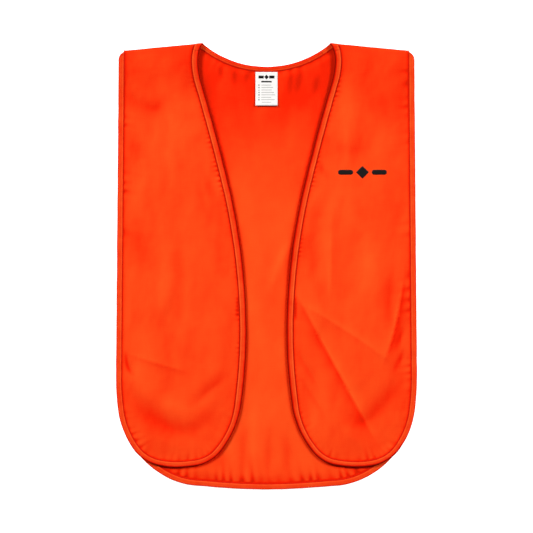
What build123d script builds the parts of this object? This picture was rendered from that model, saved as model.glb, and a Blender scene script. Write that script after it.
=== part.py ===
from build123d import *
import math
import os

# A sleeveless blaze orange field vest, lying flat and face up as it does on a table. X runs across the
# body (+X is the wearer's left), Y towards the neck and Z up out of the front. The origin is under the
# middle of the vest, on the surface that it lies on. Millimetres.
#
# Three cloth panels make it: a back and two fronts, sewn together along the two shoulders only. Every other
# edge is wrapped in a folded tape, the binding, held by one row of lockstitch.

# Overall size
length = 768  # back hem to shoulder
top_y = length / 2
hem_y = -length / 2
hip_half_width = 259
chest_half_width = 253.5

# Shoulders: the seam falls outwards from the side of the neck
neck_half_width = 110
shoulder_slope = 5.4  # degrees
seam_gap = 0.5  # how far each panel stops short of the fold line

# Back neck, a single round curve
neck_depth = 40
neck_radius = (neck_half_width**2 + neck_depth**2) / (2 * neck_depth)
neck_centre_y = top_y - neck_depth + neck_radius

# Binding: a tape folded over the edge, in section a C that opens inwards
binding_width = 11.5
neck_binding_width = 9
lip = 0.5  # thickness of each of its two plies
slot = 0.6  # room for the panel's raw edge between them
binding_height = 2 * lip + slot
fold_wall = 1.0

# Thread: a row on each face of the binding, sunk flush
thread_height = 0.25
thread_width = 0.9
thread_margin = 1.4  # from the binding's inner edge

# Layers, from the table up
panel_height = 1.4
layer_gap = 4.8  # the loft of the fronts over the back
front_z = binding_height + layer_gap

# Shoulder seam allowance, pressed onto the inside of the back, and the thread along it
allowance_width = 10
allowance_height = 0.4
allowance_inset = 0.5  # from the panel's end to its upper edge
allowance_end_gap = 3  # from either end to the inner edge of the bindings
seam_thread_height = 0.2
seam_thread_inset = 2

# Care label, sewn down along its top edge
label_width = 38
label_length = 58
label_height = 0.5
label_lift = 0.5
label_top_gap = 0.3  # clear of the neck binding
label_thread_end_gap = 1  # from either side of the label to the end of its thread
label_top_y = top_y - neck_depth - neck_binding_width - label_top_gap
label_z = panel_height + label_lift

# Printed chest emblem, a diamond between two bars
print_centre = (165, 162)
print_height = 0.1
print_diamond = 22  # across its points
print_bar_length = 26
print_bar_width = 7
print_bar_step = 28  # middle of the diamond to the middle of a bar

# Where one stretch of binding hands over to the next
front_hem_top_y = -240
back_hem_top_y = -190
middle_x = 150

# How far the masks and the outlines run past the vest, and the neck's mask past the neck
beyond = 60
neck_mask_margin = 15


def seam_y(x, gap=0.0):
    """Height of the shoulder fold line at a distance x from the middle, less a gap."""
    return top_y - gap - (x - neck_half_width) * math.tan(math.radians(shoulder_slope))


# ---------------------------------------------------------------- outlines

def arc_chain(tangent, *points):
    """Adds arcs from point to point, each one leaving along the tangent that the last one ended on."""
    for start, end in zip(points, points[1:]):
        arc = TangentArc(start, end, tangent=tangent)
        tangent = arc % 1
    return arc


# From the hip up past the shoulder, every outer edge is the same straight line.
hip = (hip_half_width, -185)
side_top = (chest_half_width, top_y + beyond)

# One front, the wearer's left. Its edges run on past the shoulder, so that an inset outline meets the
# seam squarely.
opening_angle = math.radians(-62)
opening_tangent = (math.cos(opening_angle), math.sin(opening_angle))
opening_top = (neck_half_width, top_y)
hem_low_point = (156, -345.5)
with BuildSketch() as front_outline:
    with BuildLine():
        opening_edge = arc_chain(
            opening_tangent,
            opening_top,
            (117.5, 353),
            (112, 317),
            (65, 142),
            (35, -78.5),
            (43.5, -237.5),
            (81.5, -321),
            (116.5, -341.5),
            hem_low_point,
        )
        lower_corner = arc_chain((1, 0), hem_low_point, (187, -342), (229.5, -313.5), (255, -248.5), hip)
        side_edge = Line(lower_corner @ 1, side_top)
        above_neck = Vector(opening_top) - Vector(opening_tangent) * beyond
        Polyline(side_edge @ 1, above_neck, opening_top)
    make_face()

# The back without its neck: the same sides, and a longer, flatter hem.
with BuildSketch() as back_outline:
    with BuildLine():
        hem_edge = arc_chain(
            (1, 0),
            (0, hem_y),
            (94, -379.5),
            (119.5, -377.5),
            (166.5, -365.5),
            (257, -236),
            hip,
        )
        back_side_edge = Line(hem_edge @ 1, side_top)
        Line(back_side_edge @ 1, (0, top_y + beyond))
        mirror(about=Plane.YZ)
    make_face()

# Everything below the shoulder folds, for the back and for one front.
mask_x = hip_half_width + beyond
mask_y = hem_y - beyond
with BuildSketch() as below_seams:
    with BuildLine():
        Polyline(
            (-neck_half_width, top_y - seam_gap),
            (neck_half_width, top_y - seam_gap),
            (mask_x, seam_y(mask_x, seam_gap)),
            (mask_x, mask_y),
            (-mask_x, mask_y),
            (-mask_x, seam_y(mask_x, seam_gap)),
            close=True,
        )
    make_face()
with BuildSketch() as below_left_seam:
    with BuildLine():
        Polyline(
            (0, seam_y(0, seam_gap)),
            (mask_x, seam_y(mask_x, seam_gap)),
            (mask_x, mask_y),
            (0, mask_y),
            close=True,
        )
    make_face()


def front_region(inset):
    """One front's outline, drawn in by inset from its bound edges and cut off at the shoulder."""
    with BuildSketch() as region:
        add(front_outline.sketch)
        if inset:
            offset(amount=-inset)
        add(below_left_seam.sketch, mode=Mode.INTERSECT)
    return region.sketch


def back_region(inset, neck_inset):
    """The back's outline, drawn in by inset at the sides and hem and by neck_inset at the neck."""
    with BuildSketch() as region:
        add(back_outline.sketch)
        if inset:
            offset(amount=-inset)
        with Locations((0, neck_centre_y)):
            Circle(neck_radius + neck_inset, mode=Mode.SUBTRACT)
        add(below_seams.sketch, mode=Mode.INTERSECT)
    return region.sketch


def box_mask(x_range, y_range):
    """A rectangle that picks out one stretch of an edge."""
    with BuildSketch() as mask:
        with Locations((sum(x_range) / 2, sum(y_range) / 2)):
            Rectangle(x_range[1] - x_range[0], y_range[1] - y_range[0])
    return mask.sketch


def band(outer, inner, mask):
    """The strip between two insets of an outline, within a mask."""
    with BuildSketch() as strip:
        add(outer)
        add(inner, mode=Mode.SUBTRACT)
        add(mask, mode=Mode.INTERSECT)
    return strip.sketch


def save(piece, label):
    piece.part.label = label
    export_step(piece.part, f"parts/{label}.step")


def save_pair(left_piece, name):
    """Writes the wearer's left piece and its mirror image."""
    save(left_piece, f"left_{name}")
    with BuildPart() as right_piece:
        mirror(left_piece.part, about=Plane.YZ)
    save(right_piece, f"right_{name}")


def edge_insets(width):
    """How far in a bound edge's fold, slot, thread (both sides) and inner edge lie."""
    inner_thread = width - thread_margin
    return 0, fold_wall, inner_thread - thread_width, inner_thread, width


def front_insets():
    return [front_region(inset) for inset in edge_insets(binding_width)]


def back_insets():
    pairs = zip(edge_insets(binding_width), edge_insets(neck_binding_width))
    return [back_region(inset, neck_inset) for inset, neck_inset in pairs]


os.makedirs("parts", exist_ok=True)
front_regions = front_insets()
back_regions = back_insets()


def make_panel(regions, base_z, body_z):
    """A cloth panel: its open middle, and a thin raw edge that runs into the binding's slot."""
    _, slot_region, _, _, inner_region = regions
    with BuildPart() as panel:
        with BuildSketch(Plane.XY.offset(body_z)):
            add(inner_region)
        extrude(amount=panel_height)
        with BuildSketch(Plane.XY.offset(base_z + lip)):
            add(slot_region)
        extrude(amount=slot)
    return panel


def make_binding(regions, mask, base_z):
    """One stretch of folded tape, with a groove for the thread on each face."""
    edge_region, slot_region, thread_outer, thread_inner, inner_region = regions
    with BuildPart() as binding:
        with BuildSketch(Plane.XY.offset(base_z)):
            add(band(edge_region, inner_region, mask))
        extrude(amount=binding_height)
        with BuildSketch(Plane.XY.offset(base_z + lip)):
            add(band(slot_region, inner_region, mask))
        extrude(amount=slot, mode=Mode.SUBTRACT)
        for groove_z in (base_z, base_z + binding_height - thread_height):
            with BuildSketch(Plane.XY.offset(groove_z)):
                add(band(thread_outer, thread_inner, mask))
            extrude(amount=thread_height, mode=Mode.SUBTRACT)
    return binding


def make_stitching(regions, mask, base_z):
    """The needle thread and the bobbin thread of one stretch, one in each groove."""
    _, _, thread_outer, thread_inner, _ = regions
    with BuildPart() as stitching:
        for thread_z in (base_z, base_z + binding_height - thread_height):
            with BuildSketch(Plane.XY.offset(thread_z)):
                add(band(thread_outer, thread_inner, mask))
            extrude(amount=thread_height)
    return stitching


# ---------------------------------------------------------------- back

back_panel = make_panel(back_regions, 0, 0)
save(back_panel, "back_panel")

neck_mask_x = neck_half_width + neck_mask_margin
neck_mask = box_mask((-neck_mask_x, neck_mask_x), (top_y - neck_depth - neck_mask_margin, top_y))
hem_mask = box_mask((-mask_x, mask_x), (mask_y, back_hem_top_y))
for name, mask in (("back_neck", neck_mask), ("back_hem", hem_mask)):
    save(make_binding(back_regions, mask, 0), f"{name}_binding")
    save(make_stitching(back_regions, mask, 0), f"{name}_stitching")

back_side_mask = box_mask((middle_x, mask_x), (back_hem_top_y, top_y))
save_pair(make_binding(back_regions, back_side_mask, 0), "back_side_binding")
save_pair(make_stitching(back_regions, back_side_mask, 0), "back_side_stitching")

# ---------------------------------------------------------------- fronts

panel_step = binding_height - panel_height
left_front_panel = make_panel(front_regions, front_z, front_z + panel_step)
save_pair(left_front_panel, "front_panel")

front_stretches = {
    "front_opening": box_mask((0, middle_x), (front_hem_top_y, top_y)),
    "front_hem": box_mask((0, mask_x), (mask_y, front_hem_top_y)),
    "front_side": box_mask((middle_x, mask_x), (front_hem_top_y, top_y)),
}
for name, mask in front_stretches.items():
    save_pair(make_binding(front_regions, mask, front_z), f"{name}_binding")
    save_pair(make_stitching(front_regions, mask, front_z), f"{name}_stitching")

# ---------------------------------------------------------------- shoulder seams

# A strip along each fold, between the neck binding and the side binding.
seam_start_x = neck_half_width + binding_width + allowance_end_gap
seam_end_x = chest_half_width - binding_width - allowance_end_gap
seam_middle_x = (seam_start_x + seam_end_x) / 2
seam_middle = (seam_middle_x, seam_y(seam_middle_x, seam_gap))
seam_length = (seam_end_x - seam_start_x) / math.cos(math.radians(shoulder_slope))


def make_seam_strip(base_z, height, width, inset):
    """A strip under the fold, its upper edge inset from the end of the panel."""
    with BuildPart() as strip:
        with BuildSketch(Plane.XY.offset(base_z)):
            with Locations(Location(seam_middle, -shoulder_slope)):
                with Locations((0, -inset - width / 2)):
                    Rectangle(seam_length, width)
        extrude(amount=height)
    return strip


shoulder_seam = make_seam_strip(panel_height, allowance_height, allowance_width, allowance_inset)
save_pair(shoulder_seam, "shoulder_seam")
seam_thread_z = panel_height + allowance_height
shoulder_stitching = make_seam_strip(seam_thread_z, seam_thread_height, thread_width, seam_thread_inset)
save_pair(shoulder_stitching, "shoulder_stitching")

# ---------------------------------------------------------------- care label

with BuildPart() as care_label:
    with BuildSketch(Plane.XY.offset(label_z)):
        with Locations((0, label_top_y - label_length / 2)):
            Rectangle(label_width, label_length)
    extrude(amount=label_height)
save(care_label, "care_label")

label_thread_length = label_width - 2 * label_thread_end_gap
with BuildPart() as care_label_stitching:
    with BuildSketch(Plane.XY.offset(panel_height)):
        with Locations((0, label_top_y - thread_width / 2)):
            Rectangle(label_thread_length, thread_width)
    extrude(amount=seam_thread_height)
save(care_label_stitching, "care_label_stitching")

# ---------------------------------------------------------------- chest print

with BuildPart() as chest_print:
    with BuildSketch(Plane.XY.offset(front_z + binding_height)):
        with Locations(print_centre):
            RegularPolygon(print_diamond / 2, 4)
            with Locations((-print_bar_step, 0), (print_bar_step, 0)):
                SlotOverall(print_bar_length, print_bar_width)
    extrude(amount=print_height)
save(chest_print, "chest_print")
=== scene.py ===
"""A blaze orange vest laid flat: cloth, bound edges, stitches, care label and chest emblem."""

import math

import bpy
import numpy as np
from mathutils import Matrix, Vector
from mathutils.geometry import delaunay_2d_cdt


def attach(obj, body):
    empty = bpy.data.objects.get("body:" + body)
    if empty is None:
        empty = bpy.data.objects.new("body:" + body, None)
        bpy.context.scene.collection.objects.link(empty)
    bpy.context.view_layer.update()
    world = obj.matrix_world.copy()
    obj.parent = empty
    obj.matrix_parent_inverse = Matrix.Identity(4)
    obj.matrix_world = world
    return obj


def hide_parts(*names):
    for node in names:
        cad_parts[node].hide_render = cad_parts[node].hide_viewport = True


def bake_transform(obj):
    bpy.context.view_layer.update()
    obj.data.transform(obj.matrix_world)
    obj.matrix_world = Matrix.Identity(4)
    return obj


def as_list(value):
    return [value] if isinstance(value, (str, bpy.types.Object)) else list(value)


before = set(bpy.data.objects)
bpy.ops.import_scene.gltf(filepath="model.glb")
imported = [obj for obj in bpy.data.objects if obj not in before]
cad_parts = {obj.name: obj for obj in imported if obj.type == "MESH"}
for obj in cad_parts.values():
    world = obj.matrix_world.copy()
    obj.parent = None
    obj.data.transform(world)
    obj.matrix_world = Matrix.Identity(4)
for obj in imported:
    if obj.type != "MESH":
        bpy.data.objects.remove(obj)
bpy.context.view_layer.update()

MM = 0.001  # every length below is in millimetres until a mesh is made

# ---- measures, as in part.py

LENGTH = 768
TOP_Y = LENGTH / 2
HIP = (259, -185)
CHEST_HALF_WIDTH = 253.5
SIDE_TOP_Y = 444
NECK_HALF_WIDTH = 110
SLOPE = math.radians(5.4)
NECK_DEPTH = 40
NECK_RADIUS = (NECK_HALF_WIDTH**2 + NECK_DEPTH**2) / (2 * NECK_DEPTH)
NECK_CENTRE_Y = TOP_Y - NECK_DEPTH + NECK_RADIUS
OPENING_ANGLE = math.radians(-62)
OPENING = [
    (110, 384),
    (117.5, 353),
    (112, 317),
    (65, 142),
    (35, -78.5),
    (43.5, -237.5),
    (81.5, -321),
    (116.5, -341.5),
    (156, -345.5),
]
FRONT_CORNER = [(156, -345.5), (187, -342), (229.5, -313.5), (255, -248.5), HIP]
BACK_HEM = [(0, -384), (94, -379.5), (119.5, -377.5), (166.5, -365.5), (257, -236), HIP]

# ---- measures of the looks

BACK_Z = 0.8  # middle of the back's cloth where it is bound
FRONT_Z = 4.0  # middle of a front's cloth along its opening and hem
SHOULDER_Z = 7.2  # the same beside the shoulder fold
FOLD_RADIUS = (SHOULDER_Z - BACK_Z) / 2
FOLD_Z = (SHOULDER_Z + BACK_Z) / 2
FOLD_HALF = FOLD_RADIUS * math.pi / 2  # half the cloth that goes round the fold
FLAT_BELOW_FOLD = 18  # cloth beside the fold that keeps its height
DROP_LENGTH = 85  # over which a front comes down from there
CORNER_ROUND = 14  # radius of the outer corner at the shoulder
CORNER_START = 1.6  # below the fold line, where that rounding ends
CORNER_CLOTH = 9.4  # the furthest in from the straight side that the cloth's edge goes there
NEAR_SIDE = 40  # cloth this near to a side is measured from it beside the fold
TAIL = 14  # how far the folded stretch of a binding runs down each side
BLEND_LOW, BLEND_HIGH = 1.6, 6.4  # heights at a fold below and above which cloth stays with back and front

CLOTH_THICKNESS = 0.36
CLOTH_UNDER_BINDING = 2.2  # inset of the cloth's raw edge
FRONT_STEP = 3.4  # between points of the cloth's mesh
BACK_STEP = 4.2
EDGE_STEP = 2.0  # the same near the bound edges, where the cloth gathers
EDGE_REACH = 26
BIND_STEP = 2.4
OPENING_BIND_WIDTH = 12.4
HEM_BIND_WIDTH = 10.8
NECK_BIND_WIDTH = 9.4
STITCH_INSET = 1.3  # from the binding's inner edge
NARROW_BIND = 8.5  # below this width a binding's section shrinks as a whole
STITCH_PITCH = 3.2
STITCH_LENGTH = 2.5
STITCH_RADIUS = 0.26

LIT_FROM = np.array([-0.66, 0.75])  # painted light and shade: slopes facing this way paler
SLOPE_PAINTED_SHADING = 2.3
EDGE_SHADOW_PAINT = 0.75  # painted shadow: how much deeper the back is along a front's edge
SHADE_REACH = 2.1  # of the painted shadow on a binding's outer edge, where it turns down towards the back
FOLD_SHADE = 0.5  # how much deeper the cloth is where it stands upright in the fold


# ---- small maths

FINE = np.linspace(0, 1, 40)


def smoothstep(x, low=0.0, high=1.0):
    """From 0 at low to 1 at high, level at both."""
    t = np.clip((np.asarray(x, float) - low) / (high - low), 0, 1)
    return t * t * (3 - 2 * t)


def gradient_noise(x, y, seed):
    """Smooth noise with cells one unit wide, from about -1 to 1."""
    cells = 64
    angle = np.random.default_rng(seed).uniform(0, 2 * np.pi, (cells, cells))
    i, j = np.floor(x).astype(int), np.floor(y).astype(int)
    fx, fy = x - i, y - j

    def corner(di, dj):
        a = angle[(i + di) % cells, (j + dj) % cells]
        return np.cos(a) * (fx - di) + np.sin(a) * (fy - dj)

    wx, wy = smoothstep(fx), smoothstep(fy)
    low = corner(0, 0) * (1 - wx) + corner(1, 0) * wx
    high = corner(0, 1) * (1 - wx) + corner(1, 1) * wx
    return 1.6 * (low * (1 - wy) + high * wy)


def wander(s, length, seed):
    """Noise along a line, with waves about length long."""
    s = np.asarray(s, float)
    return gradient_noise(s / length, np.full_like(s, 0.37), seed)


def arc_through(path):
    """The path itself if it is straight, or the parabola through its three points, or a smooth line."""
    path = np.array(path, float)
    share = np.linspace(0, 1, len(path))
    return np.column_stack([np.polyval(np.polyfit(share, path[:, k], len(path) - 1), FINE) for k in (0, 1)])


def tangent_arc(start, end, tangent, step):
    """Points on the arc that leaves start along tangent and comes to end, and the tangent there."""
    start, end, tangent = (np.array(v, float) for v in (start, end, tangent))
    chord = end - start
    turn = 2 * math.atan2(tangent[0] * chord[1] - tangent[1] * chord[0], float(tangent @ chord))
    width = np.linalg.norm(chord)
    length = width * (turn / 2) / math.sin(turn / 2) if abs(turn) > 1e-6 else width
    share = np.linspace(0, 1, max(2, math.ceil(length / step) + 1))[1:]
    if abs(turn) < 1e-6:
        return start + np.outer(share, chord), tangent
    normal = np.array([-tangent[1], tangent[0]])
    bend = share * turn
    points = start + length / turn * (np.outer(np.sin(bend), tangent) + np.outer(1 - np.cos(bend), normal))
    c, s = math.cos(turn), math.sin(turn)
    return points, np.array([c * tangent[0] - s * tangent[1], s * tangent[0] + c * tangent[1]])


def arc_chain(tangent, points, step=1.0):
    """One smooth line of arcs through the points."""
    line = [np.array([points[0]], float)]
    for start, end in zip(points, points[1:]):
        arc, tangent = tangent_arc(start, end, tangent, step)
        line.append(arc)
    return np.vstack(line)


def lengths(line):
    """How far along a line each of its points is."""
    return np.concatenate([[0], np.cumsum(np.linalg.norm(np.diff(line, axis=0), axis=1))])


def resample(line, step):
    """The same line with points about step apart."""
    line = np.asarray(line, float)
    along = lengths(line)
    at = np.linspace(0, along[-1], max(2, round(along[-1] / step)) + 1)
    return np.stack([np.interp(at, along, line[:, k]) for k in range(line.shape[1])], 1)


def unit(vectors):
    """Vectors scaled to a length of 1."""
    return vectors / np.linalg.norm(vectors, axis=-1, keepdims=True)


def tangents(line):
    return unit(np.gradient(line, axis=0))


def left_normals(line):
    t = tangents(line)
    return np.stack([-t[:, 1], t[:, 0]], 1)


# ---- outlines, drawn for the wearer's left (+X)

FOLD_ORIGIN = np.array([NECK_HALF_WIDTH, TOP_Y])
FOLD_U = np.array([math.cos(SLOPE), -math.sin(SLOPE)])  # along the fold, outwards
FOLD_V = np.array([math.sin(SLOPE), math.cos(SLOPE)])  # across it, away from the vest


def below_fold(points):
    """Distance below the left shoulder fold line."""
    return -(np.asarray(points, float) - FOLD_ORIGIN) @ FOLD_V


def mirrored(points):
    """The points, with those on the wearer's right moved across to the left."""
    return np.abs(points) * (1, 0) + points * (0, 1)


def fold_distance(points):
    """Distance below whichever shoulder fold is nearer."""
    return below_fold(mirrored(points))


def corner_inset(t):
    """How far in the rounded outer corner is, t below the shoulder fold line."""
    near = np.clip(CORNER_ROUND + CORNER_START - t, 0, CORNER_ROUND)
    return 0.85 * (CORNER_ROUND - np.sqrt(CORNER_ROUND**2 - near**2))


def side_inset(points):
    """How far in from the nearer straight side line, measured along the shoulder fold."""
    ends = np.array([HIP, (CHEST_HALF_WIDTH, SIDE_TOP_Y)], float)
    (low_t, high_t), (low_u, high_u) = below_fold(ends), (ends - FOLD_ORIGIN) @ FOLD_U
    share = (fold_distance(points) - low_t) / (high_t - low_t)
    u = (mirrored(points) - FOLD_ORIGIN) @ FOLD_U
    return low_u + (high_u - low_u) * share - u


def side_line():
    """From the hip up to the shoulder, with the corner there rounded, and a little way on from it."""
    line = np.linspace(HIP, (CHEST_HALF_WIDTH, SIDE_TOP_Y), 700)
    line = line[below_fold(line) > FOLD_RADIUS - 0.5]
    line[:, 0] -= corner_inset(below_fold(line))
    return np.vstack([line, line[-1] + np.outer(np.arange(1, 10), unit(line[-1] - line[-2]))])


def front_line():
    """A front's bound edge: down the opening, round the hem and up the side. The cloth is on its left."""
    opening = arc_chain((math.cos(OPENING_ANGLE), math.sin(OPENING_ANGLE)), OPENING)
    corner = arc_chain((1, 0), FRONT_CORNER)
    return resample(np.vstack([opening, corner[1:], side_line()[1:]]), BIND_STEP)


def back_line():
    """The back's bound edge from one shoulder round the hem to the other. The cloth is on its left."""
    half = np.vstack([arc_chain((1, 0), BACK_HEM), side_line()[1:]])
    other = half[::-1] * (-1, 1)
    return resample(np.vstack([other, half[1:]]), BIND_STEP)


def neck_line():
    """The back's neck edge, from the wearer's right to the left. The cloth is on its right."""
    reach = math.atan2(NECK_HALF_WIDTH, NECK_CENTRE_Y - TOP_Y)
    angle = np.linspace(-reach, reach, 200)
    line = np.stack([NECK_RADIUS * np.sin(angle), NECK_CENTRE_Y - NECK_RADIUS * np.cos(angle)], 1)
    return resample(line, BIND_STEP)


FRONT_LINE = front_line()
BACK_LINE = back_line()
NECK_LINE = neck_line()


def front_width(along):
    """Width of a front's binding: a little more down the opening than round the hem and side."""
    return HEM_BIND_WIDTH + (OPENING_BIND_WIDTH - HEM_BIND_WIDTH) * (1 - smoothstep(along, 600, 700))


def cut_at_fold(line, distance):
    """The stretch of a line that is at least distance below both shoulder folds, cut off exactly there."""
    t = fold_distance(line)
    inside = np.flatnonzero(t >= distance)
    first, last = inside[0], inside[-1]
    kept = [line[first : last + 1]]
    if first > 0:
        share = (distance - t[first]) / (t[first - 1] - t[first])
        kept.insert(0, [line[first] + share * (line[first - 1] - line[first])])
    if last < len(line) - 1:
        share = (distance - t[last]) / (t[last + 1] - t[last])
        kept.append([line[last] + share * (line[last + 1] - line[last])])
    return np.vstack(kept)


def cloth_edge(line):
    """The cloth's raw edge under a binding, which it doesn't leave at the rounded corners."""
    edge = line + left_normals(line) * CLOTH_UNDER_BINDING
    inset = side_inset(edge)
    outer = (fold_distance(edge) < CORNER_ROUND + CLOTH_UNDER_BINDING) & (inset < NEAR_SIDE)
    shift = np.where(outer, np.maximum(inset - CORNER_CLOTH, 0), 0)[:, None] * FOLD_U
    return edge + shift * np.column_stack([np.sign(edge[:, 0]), np.ones(len(edge))])


BATCH = 4000  # points measured at a time, to spare memory


def edge_field(points, line, inward):
    """How deep each point is in from the nearest place on a line, how far along that is, and how far off."""
    along, forward = lengths(line), tangents(line)
    depth, place, distance = (np.empty(len(points)) for _ in range(3))
    for first in range(0, len(points), BATCH):
        part = slice(first, first + BATCH)
        squares = ((points[part, None] - line[None]) ** 2).sum(2)
        near = squares.argmin(1)
        offset = points[part] - line[near]
        depth[part] = (offset * inward[near]).sum(1)
        place[part] = along[near] + (offset * forward[near]).sum(1)
        distance[part] = np.sqrt(squares[np.arange(len(near)), near])
    return depth, place, distance


def bound_depth(points, line):
    """How deep points are in from a bound edge, as if its corners weren't rounded, and how far along it."""
    depth, along, _ = edge_field(points, line, left_normals(line))
    inset = side_inset(points)
    corner = (fold_distance(points) < CORNER_ROUND + HEM_BIND_WIDTH) & (inset < NEAR_SIDE)
    return np.where(corner, inset, depth), along


# ---- heights of the cloth

# Creases and soft folds in a piece of cloth: the path on the table, the height (a valley if below 0), the
# half width, and how much paler the cloth is painted there (deeper if below 0), as painted light and shade.
# Then, where they aren't 0 and False, how much paler the left bank is painted than the right, painted light
# on one bank and painted shade on the other, and whether the crease comes to a sharp line.
LEFT_FRONT_CREASES = [
    ([(62, -67), (120, -100), (204, -157)], 0.8, 7, 0.05, 0.14, True),
    ([(62, -67), (112, -160), (178, -282)], -1.1, 9, -0.04, 0.58, True),
    ([(204, -157), (222, -100), (234, -33)], 0.8, 6, -0.08, 0.55, True),
    ([(105, 122), (83, 36), (100, -67)], -0.9, 11, -0.20),
    ([(128, 130), (108, 40), (120, -60)], 0.7, 10, 0.16),
    ([(112, 60), (110, -50)], 0.5, 5, 0.10, -0.12, True),
    ([(178, 24), (178, -56)], 0.9, 20, 0.26),
    ([(216, -10), (213, -88)], -1.0, 10, -0.28),
    ([(232, -205), (180, -262), (146, -270)], -1.1, 13, -0.36),
    ([(236, -110), (226, -140)], -0.8, 5, -0.35),
    ([(236, -150), (224, -178)], -0.8, 5, -0.35),
    ([(58, -153), (92, -213)], -0.8, 6, -0.20, 0.10),
    ([(66, -200), (104, -262)], -0.7, 6, -0.16, 0.10),
    ([(50, -54), (49.5, -70), (50.5, -90)], -0.6, 2.2, -0.75),
    ([(92, 174), (109, 148)], -0.7, 5, -0.22),
    ([(150, 330), (150, 200)], 0.6, 22, 0.12),
    ([(186, 294), (222, 240)], -0.7, 20, -0.34),
    ([(190, 215), (150, 195), (118, 205)], -0.5, 14, -0.14),
    ([(142, 232), (140, 175)], 0.6, 7, 0.14),
    ([(166, 262), (158, 182)], -0.5, 9, -0.12),
    ([(120, -262), (170, -318)], 0.6, 10, 0.10),
    ([(150, 90), (190, -10)], 0.5, 14, 0.10),
]
RIGHT_FRONT_CREASES = [
    ([(-230, -222), (-196, -262), (-150, -284), (-112, -272)], -1.3, 14, -0.44),
    ([(-222, -190), (-180, -236), (-130, -250)], 0.8, 13, 0.12),
    ([(-241, -150), (-238, -172), (-228, -188)], -1.0, 3, -0.50),
    ([(-71, -190), (-122, -236)], -0.9, 10, -0.16, 0.06),
    ([(-236, -150), (-190, -166), (-140, -180)], 0.7, 6, -0.06, 0.12, True),
    ([(-101, 148), (-96, 134), (-89, 118)], -0.8, 6, -0.18),
    ([(-50, -54), (-49.5, -70), (-50.5, -86)], -0.6, 2.0, -0.70),
    ([(-84, 150), (-78, 118)], 0.7, 5, 0.20),
    ([(-116, 140), (-104, 100)], -0.6, 6, -0.12),
    ([(-226, 285), (-196, 268), (-176, 282)], -0.9, 12, -0.32),
    ([(-226, 212), (-214, 178)], -0.8, 11, -0.24),
    ([(-150, 200), (-146, 160)], -0.5, 8, -0.16),
    ([(-160, 330), (-150, 120)], 0.7, 24, 0.14),
    ([(-218, 62), (-214, 30), (-204, 0)], -0.6, 12, -0.20),
    ([(-120, 60), (-118, -120)], 0.7, 20, 0.10),
    ([(-170, 20), (-168, -60)], 0.5, 16, 0.12),
    ([(-150, 80), (-146, -100)], -0.4, 10, -0.10),
]
BACK_CREASES = [
    ([(40, 36), (26, 6), (10, -33)], 0.8, 8, 0.20),
    ([(50, 50), (42, 10), (40, -30)], -0.7, 7, -0.24),
    ([(-80, -262), (-76, -352)], -0.6, 8, -0.20),
    ([(-37, -288), (-40, -356)], -0.6, 7, -0.24),
    ([(8, -285), (4, -356)], -0.6, 7, -0.22),
    ([(36, -290), (40, -356)], -0.6, 8, -0.26),
    ([(-18, -250), (-20, -345)], 0.5, 8, 0.12),
    ([(-60, -255), (-58, -345)], 0.5, 8, 0.12),
    ([(-78, 342), (-76, 324)], -0.4, 3.5, -0.26),
    ([(-54, 338), (-53, 314)], -0.4, 4, -0.32),
    ([(-32, 332), (-33, 316)], -0.4, 4, -0.16),
    ([(44, 330), (42, 298)], -0.5, 4, -0.28),
    ([(60, 332), (54, 300)], -0.5, 5, -0.34),
    ([(90, 325), (84, 296)], -0.5, 5, -0.28),
    ([(-30, 180), (-20, -180)], 0.4, 18, 0.08),
    ([(14, 120), (20, -220)], -0.4, 15, -0.08),
]
SHARP_STEP = 2.0  # between the points that keep a sharp crease crisp


def add_creases(points, creases, z, tone):
    """Adds each crease to the heights, and its painted light and shade to the tone."""
    for path, height, half_width, painted_shading, *rare in creases:
        bank_shading, sharp = (*rare, 0.0, False)[:2]
        line = resample(arc_through(path), 3.0)
        across, along, distance = edge_field(points, line, left_normals(line))
        share = np.clip(along / lengths(line)[-1], 0, 1)
        fade = np.sin(np.pi * (0.06 + 0.88 * share)) ** 0.6
        reach = distance / half_width
        shape = np.exp(-reach) if sharp else np.exp(-(reach**2))
        z += height * fade * shape
        tone += painted_shading * fade * np.exp(-((distance / (1.3 * half_width)) ** 2))
        tone += bank_shading * fade * np.tanh(across / 1.2) * np.exp(-distance / (1.2 * half_width))


def rumple(points, seed, strength):
    """The cloth's own soft waves, longer up and down than across, and a finer crumple."""
    x, y = points[:, 0], points[:, 1]
    bent = x + 14 * gradient_noise(x / 90, y / 70, seed + 1)
    waves = 1.0 * gradient_noise(bent / 46, y / 110, seed + 2)
    waves += 0.36 * gradient_noise(bent / 20, y / 42, seed + 3)
    waves += 0.09 * gradient_noise(x / 9.0, y / 13, seed + 4)
    return strength * waves


def mottle(points, seed):
    """Broad and small differences in how orange the cloth looks."""
    x, y = points[:, 0], points[:, 1]
    return 0.12 * gradient_noise(x / 58, y / 90, seed + 5) + 0.05 * gradient_noise(x / 18, y / 27, seed + 6)


def add_gathers(z, tone, share, along, inner, seed, kind):
    """Adds small gathers that run in from a bound edge, inner past its binding, to the heights and tone. The
    tone gets painted shade in their valleys and a little painted light on their ridges.
    """
    strength, pitch, reach, patchy = kind
    phase = 2 * np.pi * along / pitch + 4.5 * wander(along, 47, seed) + 0.06 * inner
    uneven = np.clip(0.85 - patchy + (0.8 + patchy) * wander(along, 41, seed + 1), 0.3 * (1 - patchy), 1.4)
    longer = reach * np.clip(1 + 0.9 * wander(along, 17, seed + 2), 0.4, 2)
    amount = strength * uneven * smoothstep(inner, -2, 2.5) * np.exp(-np.maximum(inner, 0) / longer)
    ridge = 0.5 + 0.5 * np.sin(phase)
    z += share * (0.5 * amount * (2 * ridge**0.7 - 1))
    # painted shade in the valleys, painted light on the ridges
    tone += share * (amount * (0.14 - 0.70 * (1 - ridge) ** 1.3))


def edge_ripple(along, seed):
    """How a bound edge itself lifts and falls."""
    return 0.20 * wander(along, 38, seed) + 0.10 * wander(along, 15, seed + 1)


def front_seed(side):
    """Where a front's random draws start."""
    return 40 if side > 0 else 80


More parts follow.
